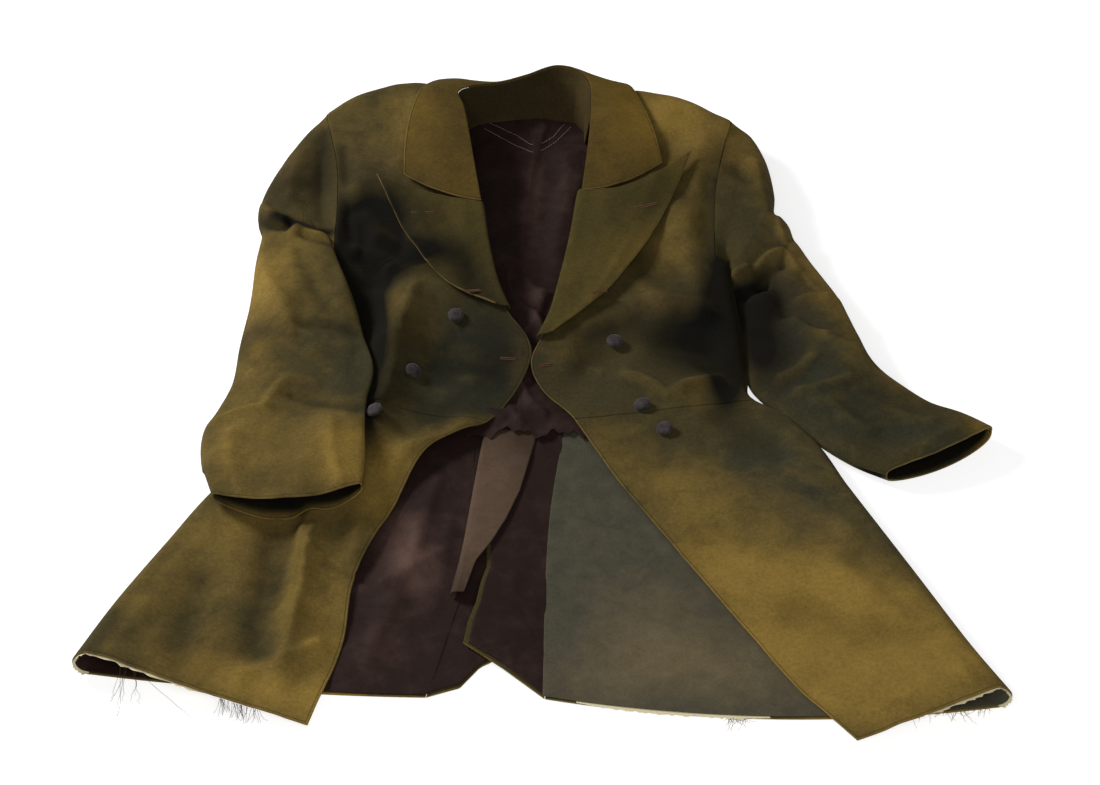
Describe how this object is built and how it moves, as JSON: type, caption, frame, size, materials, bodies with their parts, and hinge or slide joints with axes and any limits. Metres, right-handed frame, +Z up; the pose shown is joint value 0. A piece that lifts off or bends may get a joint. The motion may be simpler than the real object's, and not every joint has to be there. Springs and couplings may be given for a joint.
{
  "type": "frock coat",
  "caption": "Double-breasted wool frock coat laid open on its back, with peaked lapels, turned collar, long sleeves and full skirts with one side roll each.",
  "frame": {"origin": "on the surface that the coat lies on, under its back, beside the middle of the waist", "axes": "+X to the right of the view, +Y towards the collar, +Z up from the surface, through the coat's thickness"},
  "size_m": [0.9354, 1.016, 0.0722],
  "materials": {
    "outer_cloth": "faded fulled wool, olive going to gold",
    "lining": "thin twilled lining, purple-brown",
    "facing": "creased green-grey facing cloth",
    "turned_tail": "faded lining, paler than the rest",
    "button_cloth": "dark grey-purple covering cloth"
  },
  "bodies": {
    "root": {"back_left": "outer_cloth", "back_right": "outer_cloth", "side_body_left": "outer_cloth", "side_body_right": "outer_cloth", "forepart_left": "outer_cloth", "forepart_right": "outer_cloth", "skirt_left": "outer_cloth", "skirt_right": "outer_cloth", "back_lining_left": "lining", "back_lining_right": "lining", "tail_lining_left": "lining", "tail_lining_right": "lining", "skirt_lining_left": "lining", "skirt_facing_right": "facing", "tail_turned_left": "turned_tail", "lapel_left": "outer_cloth", "lapel_right": "outer_cloth", "collar_leaf": "outer_cloth", "collar_stand": "outer_cloth", "top_sleeve_left": "outer_cloth", "under_sleeve_left": "outer_cloth", "top_sleeve_right": "outer_cloth", "under_sleeve_right": "outer_cloth", "button_left_top": "button_cloth", "button_left_middle": "button_cloth", "button_left_low": "button_cloth", "button_right_top": "button_cloth", "button_right_middle": "button_cloth", "button_right_low": "button_cloth", "button_cuff_left": "button_cloth"}
  },
  "joints": []
}
